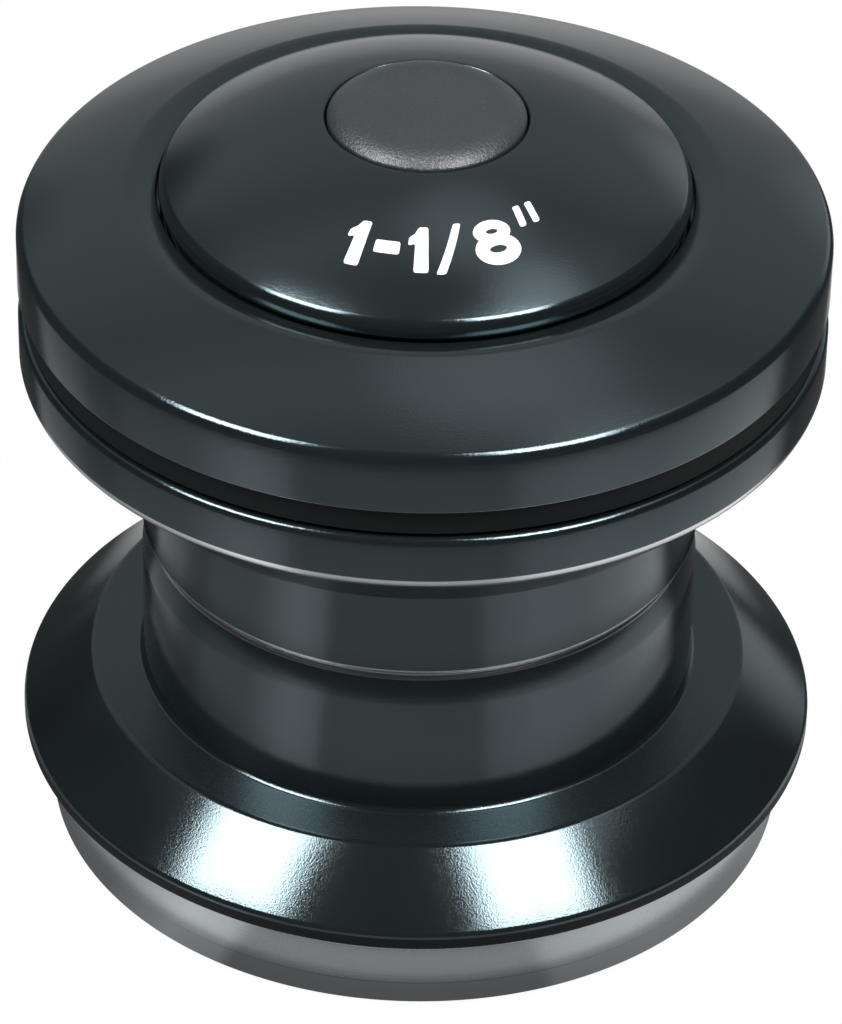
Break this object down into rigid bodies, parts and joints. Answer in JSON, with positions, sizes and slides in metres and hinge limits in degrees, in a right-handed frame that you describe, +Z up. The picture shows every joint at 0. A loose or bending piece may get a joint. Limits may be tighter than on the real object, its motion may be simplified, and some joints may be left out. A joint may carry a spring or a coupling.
{
  "type": "bicycle headset",
  "caption": "Stacked black bicycle headset with press-in cups, sealed bearings, conical cover, domed plugged cap and a pale crown race, so that a fork turns in a frame.",
  "frame": {"origin": "on the steering axis, at the underside of the crown race", "axes": "+Z up along the steering axis, from the crown race towards the top cap"},
  "size_m": [0.0492, 0.0492, 0.0498],
  "materials": {
    "black_alloy": "fine bead-blasted, black anodised",
    "plain_alloy": "plain turned",
    "pale_steel": "pale satin, turned",
    "bearing_steel": "ground",
    "shield_rubber": "smooth moulded",
    "seal_rubber": "smooth moulded",
    "plug_rubber": "matt grey, slightly rough"
  },
  "bodies": {
    "cups": {"upper_cup": "black_alloy", "lower_cup": "black_alloy", "upper_outer_race": "bearing_steel", "lower_outer_race": "bearing_steel", "upper_open_shield": "shield_rubber", "upper_seat_shield": "shield_rubber", "lower_open_shield": "shield_rubber", "lower_seat_shield": "shield_rubber"},
    "cover_side": {"cap_plug": "plug_rubber", "top_cap": "black_alloy", "bearing_cover": "black_alloy", "cover_seal": "seal_rubber", "steerer_seal": "seal_rubber", "compression_ring": "plain_alloy", "upper_inner_race": "bearing_steel"},
    "crown_side": {"crown_race": "pale_steel", "crown_seal": "seal_rubber", "lower_inner_race": "bearing_steel"},
    "upper_balls": {"upper_ball_ring": "bearing_steel"},
    "lower_balls": {"lower_ball_ring": "bearing_steel"}
  },
  "joints": [
    {"name": "cover_turn", "type": "hinge", "parent": "cups", "child": "cover_side", "pos_m": [0, 0, 0.03375], "axis": [0, 0, 1], "continuous": true},
    {"name": "crown_turn", "type": "hinge", "parent": "cups", "child": "crown_side", "pos_m": [0, 0, 0.00515], "axis": [0, 0, 1], "continuous": true},
    {"name": "upper_balls_turn", "type": "hinge", "parent": "cups", "child": "upper_balls", "pos_m": [0, 0, 0.03375], "axis": [0, 0, 1], "continuous": true},
    {"name": "lower_balls_turn", "type": "hinge", "parent": "cups", "child": "lower_balls", "pos_m": [0, 0, 0.00515], "axis": [0, 0, 1], "continuous": true}
  ],
  "couplings": [
    {"joint": "upper_balls_turn", "follows": "cover_turn", "ratio": 0.4685},
    {"joint": "lower_balls_turn", "follows": "crown_turn", "ratio": 0.4685}
  ]
}
